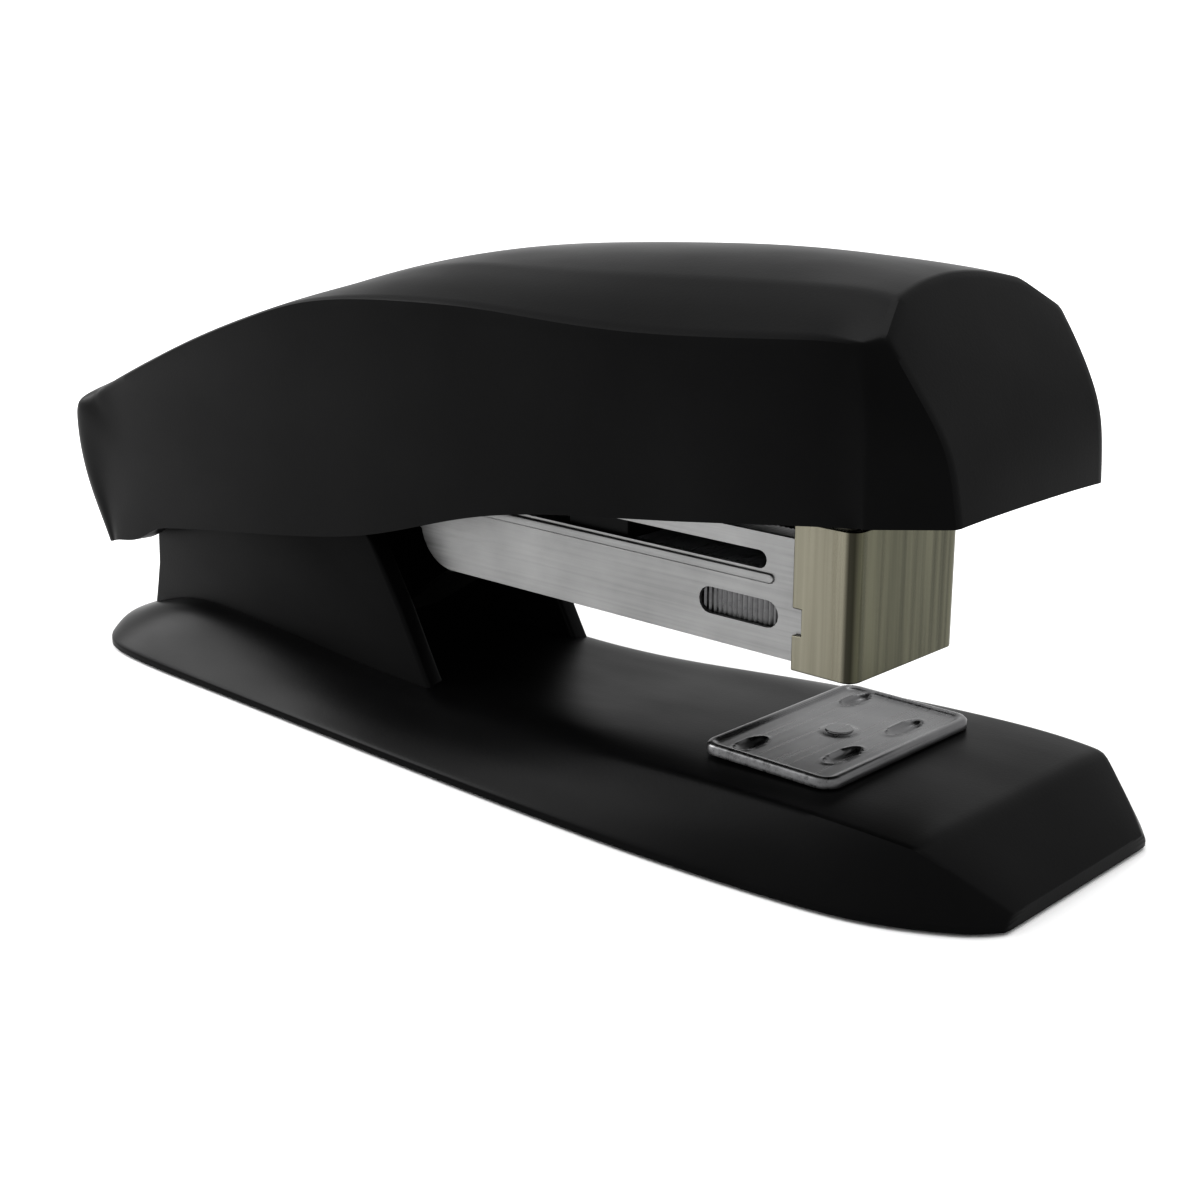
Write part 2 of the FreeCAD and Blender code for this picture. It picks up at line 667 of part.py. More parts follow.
def driver_blade():
    half = STAPLE_HALF - 0.1
    blade = plate(DRIVER_X - DRIVER_SHEET / 2, DRIVER_X + DRIVER_SHEET / 2, half,
                  DRIVER_Z0, DRIVER_Z1)
    return cut(driver_frame(blade), driver_rivet_bars(RIVET_R))


def driver_rivets():
    rivets = []
    for side, shank in zip((-1, 1), driver_rivet_bars(RIVET_R)):
        rear = DRIVER_X - DRIVER_SHEET / 2 - ARM_SHEET
        head = bar_x(side * DRIVER_RIVET_Y, DRIVER_RIVET_Z, 1.5, rear - 0.6, rear)
        rivets.append(join([shank, driver_frame(head)]))
    return rivets


def return_spring():
    """Leaf riveted under the arm, pressing on the magazine's bridge."""
    under = [(x, arm_top(x) - ARM_SHEET - LEAF - 0.06) for x in (-33.0, -21.5)]
    outline = under + [(-18.0, under[1][1] - 0.6), (-13.8, 26.6), (-12.6, 26.1)]
    body = leaf(outline, LEAF, 3.5)
    return cut(body, [bar_z(x, 0, RIVET_R, 20, 50) for x in SPRING_RIVET_X])


def spring_rivets():
    rivets = []
    for x in SPRING_RIVET_X:
        under = arm_top(x) - ARM_SHEET - LEAF - 0.3
        shank = bar_z(x, 0, RIVET_R, under - 0.2, arm_top(x) + 0.1)
        head = bar_z(x, 0, 1.6, under - 0.4, under)
        rivets.append(join([shank, head]))
    return rivets


def cover_screws():
    screws = []
    for x in COVER_SCREW_X:
        under = arm_top(x) - ARM_SHEET - 0.3
        screws.append(screw(x, under, 2.2, 1.3, SCREW_R, arm_top(x) + 3.8))
    return screws


NODES = {
    "base_shell": base_shell,
    "base_sole": base_sole,
    "base_plate": base_plate,
    "base_screws": base_screws,
    "hinge_pin": hinge_pin,
    "hinge_pin_clip": hinge_pin_clip,
    "lift_spring": lift_spring,
    "anvil_plate": anvil_plate,
    "anvil_post": anvil_post,
    "anvil_button": anvil_button,
    "anvil_spring": anvil_spring,
    "magazine_channel": magazine_channel,
    "front_casing": front_casing,
    "staple_rail": staple_rail,
    "rail_rivets": rail_rivets,
    "hinge_spacer": hinge_spacer,
    "rod_bracket": rod_bracket,
    "guide_rod": guide_rod,
    "pusher_spring": pusher_spring,
    "staple_strip": staple_strip,
    "staple_pusher": staple_pusher,
    "cover_shell": cover_shell,
    "pressing_arm": pressing_arm,
    "driver_blade": driver_blade,
    "driver_rivets": driver_rivets,
    "return_spring": return_spring,
    "spring_rivets": spring_rivets,
    "cover_screws": cover_screws,
}

os.makedirs("parts", exist_ok=True)
for node, build in NODES.items():
    save(node, build())
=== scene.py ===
import bpy
import bmesh
import math
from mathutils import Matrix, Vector


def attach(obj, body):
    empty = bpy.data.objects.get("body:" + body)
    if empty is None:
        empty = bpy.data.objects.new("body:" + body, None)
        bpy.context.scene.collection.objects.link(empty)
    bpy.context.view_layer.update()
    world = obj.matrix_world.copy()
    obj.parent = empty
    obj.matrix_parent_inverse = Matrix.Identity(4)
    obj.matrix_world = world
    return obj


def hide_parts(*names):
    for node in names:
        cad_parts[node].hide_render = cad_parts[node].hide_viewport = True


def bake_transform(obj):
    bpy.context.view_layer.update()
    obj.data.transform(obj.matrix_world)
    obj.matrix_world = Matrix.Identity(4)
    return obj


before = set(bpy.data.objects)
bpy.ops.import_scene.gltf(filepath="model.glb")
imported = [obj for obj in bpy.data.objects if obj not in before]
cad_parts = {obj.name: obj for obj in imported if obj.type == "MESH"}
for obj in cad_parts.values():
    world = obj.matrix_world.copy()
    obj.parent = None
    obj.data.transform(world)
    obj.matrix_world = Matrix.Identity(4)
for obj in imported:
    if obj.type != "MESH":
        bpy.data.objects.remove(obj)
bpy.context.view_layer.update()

# Lengths in this script are millimetres, in the frame of the CAD model, and are turned into
# Blender's metres where a mesh, a modifier or a light is made.
MM = 0.001

PIN = Vector((-43.6, 0, 23.5))      # axis of the hinge pin, along Y
WALL = 1.8                          # moulded plastic wall
RIM_Z = 0.3                         # the base's lower rim, just clear of the table
CHEEK_IN, CHEEK_OUT = 8.9, 11.0     # hinge cheeks, half widths
ANVIL_X = 35.2
ANVIL_HALF_X, ANVIL_HALF_Y = 6.7, 10.4
ANVIL_LOW, ANVIL_TOP = 6.7, 7.6
ROD_Z = 18.5


# ---- small helpers -----------------------------------------------------------
def through(points):
    """A smooth function of x through a few (x, value) points, flat beyond its ends."""
    def slope(index):
        before = points[max(index - 1, 0)]
        after = points[min(index + 1, len(points) - 1)]
        return (after[1] - before[1]) / (after[0] - before[0])

    def value(x):
        x = min(max(x, points[0][0]), points[-1][0])
        for index in range(len(points) - 1):
            first, last = points[index], points[index + 1]
            if x <= last[0]:
                run = last[0] - first[0]
                t = (x - first[0]) / run
                start = first[1] + t * slope(index) * run * (1 - t) ** 2
                return (start + (last[1] - first[1]) * t * t * (3 - 2 * t)
                        - slope(index + 1) * run * t * t * (1 - t))
        return points[-1][1]

    return value


def mix(first, last, share):
    return first + (last - first) * share


def new_object(name, points, faces):
    """A mesh piece from points in millimetres."""
    mesh = bpy.data.meshes.new(name)
    mesh.from_pydata([Vector(point) * MM for point in points], [], faces)
    mesh.validate()
    piece = bpy.data.objects.new(name, mesh)
    bpy.context.scene.collection.objects.link(piece)
    return piece


def modifier(piece, kind, **settings):
    added = piece.modifiers.new(kind.lower(), kind)
    for key, value in settings.items():
        setattr(added, key, value)
    return added


def settle(piece):
    """Replace the piece's mesh by what its modifiers make of it."""
    bpy.context.view_layer.update()
    graph = bpy.context.evaluated_depsgraph_get()
    final = bpy.data.meshes.new_from_object(piece.evaluated_get(graph))
    piece.modifiers.clear()
    piece.data = final
    return piece


def soft_edges(piece, width, angle=35, segments=2):
    """Round the sharp edges of a closed piece."""
    modifier(piece, "BEVEL", width=width * MM, segments=segments, limit_method="ANGLE",
             angle_limit=math.radians(angle), use_clamp_overlap=True, harden_normals=False)


def shade(piece, angle=32):
    """Smooth shading, apart from edges sharper than an angle."""
    mesh = piece.data
    mesh.shade_smooth()
    mesh.set_sharp_from_angle(angle=math.radians(angle))
    return piece


def joined(name, pieces):
    """Several pieces as one mesh under a new name."""
    whole = bmesh.new()
    for piece in pieces:
        settle(piece)
        whole.from_mesh(piece.data)
        bpy.data.objects.remove(piece)
    mesh = bpy.data.meshes.new(name)
    whole.to_mesh(mesh)
    whole.free()
    result = bpy.data.objects.new(name, mesh)
    bpy.context.scene.collection.objects.link(result)
    return result


def outward(piece):
    """Turn every face of a piece to look outward."""
    shape = bmesh.new()
    shape.from_mesh(piece.data)
    bmesh.ops.recalc_face_normals(shape, faces=shape.faces)
    shape.to_mesh(piece.data)
    shape.free()
    return piece


def prism(name, ring_low, ring_high):
    """A closed solid between two rings of matching points."""
    count = len(ring_low)
    faces = [tuple(range(count)), tuple(range(2 * count - 1, count - 1, -1))]
    faces += [(k, k + count, (k + 1) % count + count, (k + 1) % count) for k in range(count)]
    return outward(new_object(name, ring_low + ring_high, faces))


def prism_y(name, outline, y0, y1):
    """An (x, z) outline, solid from y0 to y1."""
    return prism(name, [(x, y0, z) for x, z in outline], [(x, y1, z) for x, z in outline])


def prism_z(name, outline, z0, z1):
    """An (x, y) outline, solid from z0 to z1."""
    return prism(name, [(x, y, z0) for x, y in outline], [(x, y, z1) for x, y in outline])


def arc(x, z, radius, start, end, steps):
    """Points along an arc, its ends in degrees."""
    turns = [math.radians(mix(start, end, step / steps)) for step in range(steps + 1)]
    return [(x + radius * math.cos(turn), z + radius * math.sin(turn)) for turn in turns]


def turned(name, x, y, profile, steps=40):
    """A solid of revolution about a vertical axis, from (radius, z) points.

    Flat caps close both ends, so a profile that starts off the axis leaves no bore.
    """
    points = []
    faces = []
    for radius, z in profile:
        for step in range(steps):
            turn = 2 * math.pi * step / steps
            points.append((x + radius * math.cos(turn), y + radius * math.sin(turn), z))
    for row in range(len(profile) - 1):
        for step in range(steps):
            a = row * steps + step
            b = row * steps + (step + 1) % steps
            faces.append((a, b, b + steps, a + steps))
    faces.append(tuple(range(steps - 1, -1, -1)))
    last = (len(profile) - 1) * steps
    faces.append(tuple(range(last, last + steps)))
    return outward(new_object(name, points, faces))


def tube_along(name, path, radius, sides=8):
    """A round wire along 3-D points."""
    path = [Vector(point) for point in path]
    points = []
    faces = []
    tangent = (path[1] - path[0]).normalized()
    across = tangent.orthogonal().normalized()
    for index, point in enumerate(path):
        before = path[max(index - 1, 0)]
        after = path[min(index + 1, len(path) - 1)]
        tangent = (after - before).normalized()
        across = (across - tangent * across.dot(tangent)).normalized()
        beside = tangent.cross(across)
        for side in range(sides):
            turn = 2 * math.pi * side / sides
            points.append(point + radius * (across * math.cos(turn) + beside * math.sin(turn)))
    for row in range(len(path) - 1):
        for side in range(sides):
            a = row * sides + side
            b = row * sides + (side + 1) % sides
            faces.append((a, b, b + sides, a + sides))
    faces.append(tuple(range(sides - 1, -1, -1)))
    last = (len(path) - 1) * sides
    faces.append(tuple(range(last, last + sides)))
    return outward(new_object(name, points, faces))


# ---- materials ---------------------------------------------------------------
class Shader:
    """A material under construction: a Principled shader and nodes that feed it."""

    def __init__(self, name):
        self.material = bpy.data.materials.new(name)
        self.material.use_nodes = True
        self.tree = self.material.node_tree
        self.surface = self.tree.nodes["Principled BSDF"]
        self.place = self.add("ShaderNodeTexCoord").outputs["Object"]

    def add(self, kind, **inputs):
        node = self.tree.nodes.new(kind)
        for key, value in inputs.items():
            node.inputs[key].default_value = value
        return node

    def link(self, source, target):
        self.tree.links.new(source, target)

    def set(self, **values):
        for key, value in values.items():
            self.surface.inputs[key.replace("_", " ")].default_value = value

    def noise(self, scale, detail=4.0, stretch=(1, 1, 1)):
        """Noise over the piece, scale in waves per metre. A small stretch draws it out."""
        mapping = self.add("ShaderNodeMapping", Scale=stretch)
        noise = self.add("ShaderNodeTexNoise", Scale=scale, Detail=detail)
        self.link(self.place, mapping.inputs["Vector"])
        self.link(mapping.outputs["Vector"], noise.inputs["Vector"])
        return noise.outputs["Fac"]

    def ramp(self, source, low, high, start=0.3, end=0.7):
        """Map a 0 to 1 source between two numbers or two colours."""
        if isinstance(low, tuple):
            node = self.add("ShaderNodeValToRGB")
            node.color_ramp.elements[0].position = start
            node.color_ramp.elements[1].position = end
            node.color_ramp.elements[0].color = (*low, 1)
            node.color_ramp.elements[1].color = (*high, 1)
            self.link(source, node.inputs["Fac"])
            return node.outputs["Color"]
        node = self.add("ShaderNodeMapRange")
        settings = {"From Min": start, "From Max": end, "To Min": low, "To Max": high}
        for key, value in settings.items():
            node.inputs[key].default_value = value
        self.link(source, node.inputs["Value"])
        return node.outputs["Result"]

    def colour_mix(self, share, first, last):
        """Mix two colours, the last of them a link or a plain colour."""
        node = self.add("ShaderNodeMix")
        node.data_type = "RGBA"
        colour_a, colour_b = [socket for socket in node.inputs if socket.type == "RGBA"]
        self.link(share, node.inputs[0])
        self.link(first, colour_a)
        if isinstance(last, tuple):
            colour_b.default_value = (*last, 1)
        else:
            self.link(last, colour_b)
        return [socket for socket in node.outputs if socket.type == "RGBA"][0]

    def bump(self, source, depth, below=None):
        """Relief of a depth in millimetres."""
        node = self.add("ShaderNodeBump", Distance=depth * MM, Strength=1.0)
        self.link(source, node.inputs["Height"])
        if below is not None:
            self.link(below, node.inputs["Normal"])
        return node.outputs["Normal"]

    def feed(self, colour=None, roughness=None, normal=None):
        for key, source in (("Base Color", colour), ("Roughness", roughness),
                            ("Normal", normal)):
            if source is not None:
                self.link(source, self.surface.inputs[key])
        return self.material


def moulded_plastic(name, dark, light, smooth, rough, level, grain):
    """Satin moulding: spark-eroded grain, faint flow marks, a little handling polish."""
    shader = Shader(name)
    shader.set(Specular_IOR_Level=level)
    cloud = shader.noise(60, 5)
    fine = shader.noise(3800, 3)
    colour = shader.ramp(cloud, dark, light)
    roughness = shader.ramp(shader.noise(140, 6, (0.35, 1, 1)), smooth, rough)
    relief = shader.bump(fine, grain)
    return shader.feed(colour, roughness, relief)


def brushed_metal(name, dark, light, smooth, rough, stretch, line_depth, waves=2600):
    """Rolled or brushed metal: long fine lines one way, with a slow change of tone."""
    shader = Shader(name)
    shader.set(Metallic=1.0)
    lines = shader.noise(waves, 3, stretch)
    cloud = shader.noise(130, 6)
    blend = shader.add("ShaderNodeMix", Factor=0.45)
    shader.link(lines, blend.inputs["A"])
    shader.link(cloud, blend.inputs["B"])
    colour = shader.ramp(blend.outputs["Result"], dark, light, 0.34, 0.64)
    roughness = shader.ramp(lines, smooth, rough, 0.3, 0.7)
    relief = shader.bump(lines, line_depth)
    return shader.feed(colour, roughness, relief)


def nickel_plate():
    """Brushed nickel of the magazine's head, with painted shade on its front face and a painted
    shade line round its front corners.
    """
    shader = Shader("brushed_nickel_painted_shade")
    shader.set(Metallic=1.0)
    lines = shader.noise(1500, 3, ALONG_Z)
    broad = shader.noise(420, 2, ALONG_Z)
    blend = shader.add("ShaderNodeMix", Factor=0.5)
    shader.link(lines, blend.inputs["A"])
    shader.link(broad, blend.inputs["B"])
    grain = blend.outputs["Result"]
    side = shader.ramp(grain, (0.163, 0.154, 0.122), (0.26, 0.25, 0.205), 0.36, 0.62)
    # A darker copy of the nickel for the front face: painted shade, where that face turns from the
    # light.
    front = shader.ramp(grain, (0.063, 0.063, 0.046), (0.144, 0.142, 0.104), 0.36, 0.62)
    # Near black for a line round the head's front corners: painted shade.
    corner = (0.014, 0.014, 0.009)
    parts = shader.add("ShaderNodeSeparateXYZ")
    shader.link(shader.place, parts.inputs["Vector"])
    across = shader.add("ShaderNodeMath")
    across.operation = "ABSOLUTE"
    shader.link(parts.outputs["Y"], across.inputs[0])
    along = parts.outputs["X"]
    # Mask of the front face's painted shade, by x.
    front_shade_mask = shader.ramp(along, 0.0, 1.0, HEAD_FRONT_X - 0.0006, HEAD_FRONT_X - 0.0001)
    tone = shader.colour_mix(front_shade_mask, side, front)
    # Mask of the painted shade line: close to the sides of the head, faded in towards its front.
    edge = shader.ramp(across.outputs["Value"], 0.0, 1.0,
                       HEAD_HALF - 0.0008, HEAD_HALF - 0.0003)
    both = shader.add("ShaderNodeMath")
    both.operation = "MULTIPLY"
    shader.link(edge, both.inputs[0])
    corner_shade_fade = shader.ramp(along, 0.0, 0.85, HEAD_FRONT_X - 0.0011, HEAD_FRONT_X - 0.0007)
    shader.link(corner_shade_fade, both.inputs[1])
    tone = shader.colour_mix(both.outputs["Value"], tone, corner)
    roughness = shader.ramp(lines, 0.22, 0.4)
    return shader.feed(tone, roughness, shader.bump(lines, 0.006))


def rubber(name):
    shader = Shader(name)
    shader.set(Specular_IOR_Level=0.2)
    colour = shader.ramp(shader.noise(220, 6), (0.012, 0.012, 0.012), (0.024, 0.024, 0.023))
    roughness = shader.ramp(shader.noise(900, 4), 0.72, 0.9)
    return shader.feed(colour, roughness, shader.bump(shader.noise(2600, 4), 0.03))


ALONG_X, ALONG_Y, ALONG_Z = (0.02, 1, 1), (1, 0.02, 1), (1, 1, 0.02)
HEAD_FRONT_X, HEAD_HALF = 0.0414, 0.0074        # magazine head, in metres

BLACK = moulded_plastic("black_abs", (0.0030, 0.0030, 0.0032), (0.0060, 0.0060, 0.0062),
                        0.30, 0.40, 0.085, 0.006)
PUSHER_BLACK = moulded_plastic("pusher_acetal", (0.005, 0.005, 0.0053), (0.009, 0.009, 0.0095),
                               0.34, 0.46, 0.15, 0.006)
BUTTON_BLACK = moulded_plastic("button_abs", (0.012, 0.012, 0.013), (0.022, 0.022, 0.023),
                               0.3, 0.42, 0.4, 0.006)
RUBBER = rubber("sole_rubber_grain")
MAGAZINE_STEEL = brushed_metal("magazine_sheet", (0.23, 0.23, 0.23), (0.345, 0.345, 0.344),
                               0.34, 0.50, ALONG_X, 0.004)
NICKEL = nickel_plate()
ANVIL_STEEL = brushed_metal("anvil_sheet", (0.10, 0.10, 0.102), (0.185, 0.185, 0.187),
                            0.24, 0.40, ALONG_Y, 0.003)
ZINC = brushed_metal("zinc_plate", (0.38, 0.385, 0.39), (0.55, 0.56, 0.57),
                     0.3, 0.48, ALONG_X, 0.004)
BRIGHT_STEEL = brushed_metal("bright_steel", (0.42, 0.42, 0.42), (0.6, 0.6, 0.6),
                             0.18, 0.3, ALONG_Y, 0.002)
SPRING_STEEL = brushed_metal("spring_steel_oiled", (0.22, 0.215, 0.2), (0.36, 0.35, 0.33),
                             0.26, 0.42, ALONG_X, 0.003)
WIRE = brushed_metal("galvanised_wire", (0.11, 0.11, 0.112), (0.17, 0.17, 0.172),
                     0.26, 0.40, ALONG_Y, 0.002)

NODE_MATERIALS = {
    "base_plate": ZINC, "base_screws": ZINC, "hinge_pin": BRIGHT_STEEL,
    "hinge_pin_clip": SPRING_STEEL, "magazine_channel": MAGAZINE_STEEL, "front_casing": NICKEL,
    "staple_rail": MAGAZINE_STEEL, "rail_rivets": BRIGHT_STEEL, "hinge_spacer": ZINC,
    "rod_bracket": ZINC, "guide_rod": BRIGHT_STEEL, "staple_pusher": PUSHER_BLACK,
    "pressing_arm": ZINC, "driver_blade": SPRING_STEEL, "driver_rivets": BRIGHT_STEEL,
    "spring_rivets": BRIGHT_STEEL, "cover_screws": ZINC, "anvil_button": BUTTON_BLACK,
    "anvil_post": ANVIL_STEEL,
}
EDGE_WIDTHS = {
    "front_casing": 0.14, "staple_pusher": 0.3, "anvil_button": 0.25, "hinge_pin": 0.3,
    "hinge_spacer": 0.2, "base_plate": 0.15, "pressing_arm": 0.15, "magazine_channel": 0.2,
}
OTHER_EDGE = 0.09


def finish_cad_node(name):
    """Give a CAD node its material and take the sharpness off its edges."""
    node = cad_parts[name]
    node.data.materials.clear()
    node.data.materials.append(NODE_MATERIALS[name])
    modifier(node, "WELD", merge_threshold=0.002 * MM)
    modifier(node, "DECIMATE", decimate_type="DISSOLVE", angle_limit=math.radians(1.5))
    soft_edges(node, EDGE_WIDTHS.get(name, OTHER_EDGE), 40)
    modifier(node, "WEIGHTED_NORMAL", keep_sharp=False)


def finished(piece, material, body, slot, *nodes):
    """Material, body and the CAD nodes that a new piece stands for; the slot argument is not used.
    """
    piece.data.materials.clear()
    piece.data.materials.append(material)
    if body:
        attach(piece, body)
    if nodes:
        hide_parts(*nodes)
    return piece


# ---- cover -------------------------------------------------------------------
crown = through([(-57.4, 27.5), (-49.2, 31.1), (-42, 34.0), (-34, 36.9), (-26, 39.4), (-18, 41.7),
                 (-10.4, 43.65), (-2, 45.2), (8.8, 46.45), (30, 47.6), (44.2, 46.75)])
shoulder = through([(-55.6, 26.1), (-52.7, 27.7), (-46.8, 30.2), (-41.1, 32.5), (-35.7, 34.6),
                    (-25.7, 37.9), (-16.4, 40.6), (-11.5, 41.1), (0.6, 41.7), (6.8, 41.8),
                    (16.1, 41.4), (24.8, 41.4), (38.5, 42.4), (47.5, 43.2)])
band_top = through([(-55.6, 27.4), (-49.2, 30.4), (-42, 33.2), (-34, 35.9), (-26, 38.4), (-18, 40.9),
                    (-10.4, 43.0), (-2, 44.5), (3.2, 44.6), (11.6, 44.7), (17.3, 45.0),
                    (25.9, 45.3), (31.9, 45.6), (38, 45.8), (45, 45.7)])
band_half = through([(-49, 9.0), (-28, 8.4), (-10, 7.8), (12, 8.0), (46, 8.0)])
side_half = through([(-56, 13.5), (-52, 13.7), (-44, 14.1), (-23.6, 14.6), (30, 14.5), (46.2, 14.4)])
cover_bottom = through([(-53.0, 11.1), (-46.6, 12.2), (-42.3, 14.2), (-9.8, 19.1), (8.1, 24.2),
                        (30, 27.3), (52.3, 30.4)])
# Rows up the rear lobe: degrees about the pin, radius, x of the side wall's foot.
LOBE_ROWS = [
    (231.5, 16.2, -50.8), (222, 15.6, -49.6), (210, 15.25, -48.2), (199, 15.1, -46.8),
    (189, 15.05, -45.2), (179, 15.05, -43.6), (171, 15.0, -42.0),
]
REAR_EDGE = [(-57.5, 0, 27.6), (-57.5, 6.2, 27.5), (-57.2, 10.9, 27.0), (-56.4, 12.6, 26.6),
             (-54.6, 13.3, 26.6)]
REAR_FOOT_X = -40.2
BODY_X = [-52.5, -49.2, -42, -34, -26, -18, -10, -2, 6, 14, 22, 30, 38, 42.5]
NOSE_ROWS = [           # middle line, facet edge, side corner, foot
    ((44.2, 46.6), (46.5, 12.1, 43.0), (45.2, 13.3, 42.6), 33.5),
    ((47.5, 41.8), (48.8, 11.9, 39.8), (46.6, 13.9, 38.8), 36.5),
    ((51.0, 36.1), (51.3, 11.1, 35.9), (46.8, 14.1, 35.2), 39.5),
    ((51.9, 33.1), (51.9, 10.75, 32.7), (46.8, 14.2, 32.1), 42.0),
    ((52.3, 29.9), (52.2, 10.45, 29.7), (46.8, 14.2, 29.5), 44.4),
]
OPENING_TOP = 21.8          # the rear wall stops here, above the hinge cheeks
ARM_REAR, ARM_FRONT = (-49.0, 28.8), (41.0, 38.9)       # x and z of the arm's top
ARM_SHEET, LEAF = 0.8, 0.5


def side_point(x, z, fall):
    """A point on the cover's side wall, fall being 0 at the shoulder and 1 at the foot."""
    return (x, side_half(x) - 0.6 * (1 - fall) ** 2, z)


def wall_down(top, foot_x):
    """Three points that take the side wall from a top point down to the foot."""
    foot = Vector((foot_x, side_half(foot_x), cover_bottom(foot_x)))
    top = Vector(top)
    points = []
    for share in (0.34, 0.67):
        point = top.lerp(foot, share)
        points.append(side_point(point.x, point.z, share))
    return points + [tuple(foot)]


def lobe_row(degrees, radius, foot_x):
    """One row across the rear lobe: middle, two on the rear face, its round corner."""
    turn = math.radians(degrees)
    row = []
    for y, inward in ((0, 0), (6.2, 0), (11.3, 0), (13.2, 0.15), (13.7, 1.9)):
        reach = radius - inward
        row.append((PIN.x + reach * math.cos(turn), y, PIN.z + reach * math.sin(turn)))
    if degrees == LOBE_ROWS[0][0]:
        low = row[0][2]
        row[3:] = [(row[0][0] + 0.2, 13.1, low), (row[0][0] + 1.2, 13.6, low + 0.05)]
    return row + wall_down(row[-1], foot_x)


def body_row(x, foot_x):
    half = band_half(x)
    sag = crown(x) - band_top(x)
    edge = Vector((x, half, band_top(x)))
    corner = Vector((x, side_half(x) - 0.6, shoulder(x)))
    middle = edge.lerp(corner, 0.5)
    row = [(x, 0, crown(x)), (x, half * 0.55, crown(x) - sag * 0.3), tuple(edge),
           tuple(middle + Vector((0, 0, 0.2))), tuple(corner)]
    return row + wall_down(corner, foot_x)


def nose_row(middle, edge, corner, foot_x):
    x, z = middle
    row = [(x, 0, z)]
    for share, arch in ((0.36, 0.08), (0.7, 0.34)):
        row.append((mix(x, edge[0], arch), edge[1] * share, mix(z, edge[2], arch)))
    row += [edge, corner]
    return row + wall_down(corner, foot_x)


def cover_rows():
    rows = [lobe_row(*row) for row in LOBE_ROWS]
    rows.append(REAR_EDGE + wall_down(REAR_EDGE[-1], REAR_FOOT_X))
    for x in BODY_X:
        share = (x - BODY_X[0]) / (BODY_X[-1] - BODY_X[0])
        rows.append(body_row(x, mix(-38.4, 30.5, share)))
    return rows + [nose_row(*row) for row in NOSE_ROWS]


def cover_cage():
    """A mirrored grid of the cover's outside, with creases along its style lines."""
    rows = cover_rows()
    columns = len(rows[0])
    points = []
    for row in rows:
        points += [(x, -y, z) for x, y, z in row[:0:-1]] + row
    width = 2 * columns - 1
    faces = []
    for r in range(len(rows) - 1):
        for c in range(width - 1):
            corners = (r * width + c, r * width + c + 1, (r + 1) * width + c + 1,
                       (r + 1) * width + c)
            inside = all(points[k][2] < OPENING_TOP and abs(points[k][1]) < 12 for k in corners)
            if not inside:
                faces.append(corners)
    cage = new_object("cover_outside", points, faces)
    # The wall thins towards the lobe's tip, where its full thickness would fold over itself.
    wall = cage.vertex_groups.new(name="wall")
    for r in range(len(rows)):
        wall.add(range(r * width, (r + 1) * width), min(1.0, 0.4 + 0.2 * r), "REPLACE")

    centre = columns - 1
    first_body = len(LOBE_ROWS) + 1
    first_nose = first_body + len(BODY_X)
    creases = {}

    def crease(row_a, column_a, row_b, column_b, amount):
        for side in (-1, 1):
            a = row_a * width + centre + side * column_a
            b = row_b * width + centre + side * column_b
            creases[(min(a, b), max(a, b))] = amount

    band, facet, corner = 2, 3, 4
    for r in range(first_body - 1, len(rows) - 1):
        fade = min(1.0, max(0.0, (r - first_body) / 5))
        crease(r, corner, r + 1, corner, mix(0.45, 0.86, fade))
        if r >= first_body + 2 and r < first_nose:
            crease(r, band, r + 1, band, mix(0.0, 0.8, min(1.0, (r - first_body - 2) / 5)))
        if r >= first_nose:
            crease(r, facet, r + 1, facet, 0.94)
    for column in range(facet):
        crease(first_nose, column, first_nose, column + 1, 0.85)
    crease(first_nose, facet, first_nose, corner, 0.6)
    store = cage.data.attributes.new("crease_edge", "FLOAT", "EDGE")
    for edge in cage.data.edges:
        key = (min(edge.vertices), max(edge.vertices))
        store.data[edge.index].value = creases.get(key, 0.0)
    return cage


def arm_top(x):
    """Height of the pressing arm's top face."""
    (rear_x, rear_z), (front_x, front_z) = ARM_REAR, ARM_FRONT
    return mix(rear_z, front_z, (x - rear_x) / (front_x - rear_x))


def cover_shell():
    outside = cover_cage()
    outward(outside)
    modifier(outside, "SUBSURF", levels=3, render_levels=3)
    modifier(outside, "SOLIDIFY", thickness=WALL * MM, offset=-1, use_even_offset=False,
             vertex_group="wall")
    soft_edges(outside, 0.06, 70, 1)
    parts = [outside]
    for x, top in ((-12.0, 41.8), (18.0, 45.4)):
        low = arm_top(x) + 0.35
        parts.append(turned("boss", x, 0, [(1.1, low), (2.8, low), (3.0, low + 0.2), (3.2, top),
                                           (1.1, top)]))
    for x in (-26.0, 3.0, 32.0):
        roof = band_top(x) - WALL + 0.1
        outline = [(x - 0.5, roof), (x + 0.5, roof), (x + 0.4, roof - 1.6), (x - 0.4, roof - 1.6)]
        parts.append(prism_y("rib", outline, -6.5, 6.5))
    return joined("cover_moulding", parts)


finished(shade(cover_shell()), BLACK, "cover", "black_plastic", "cover_shell")


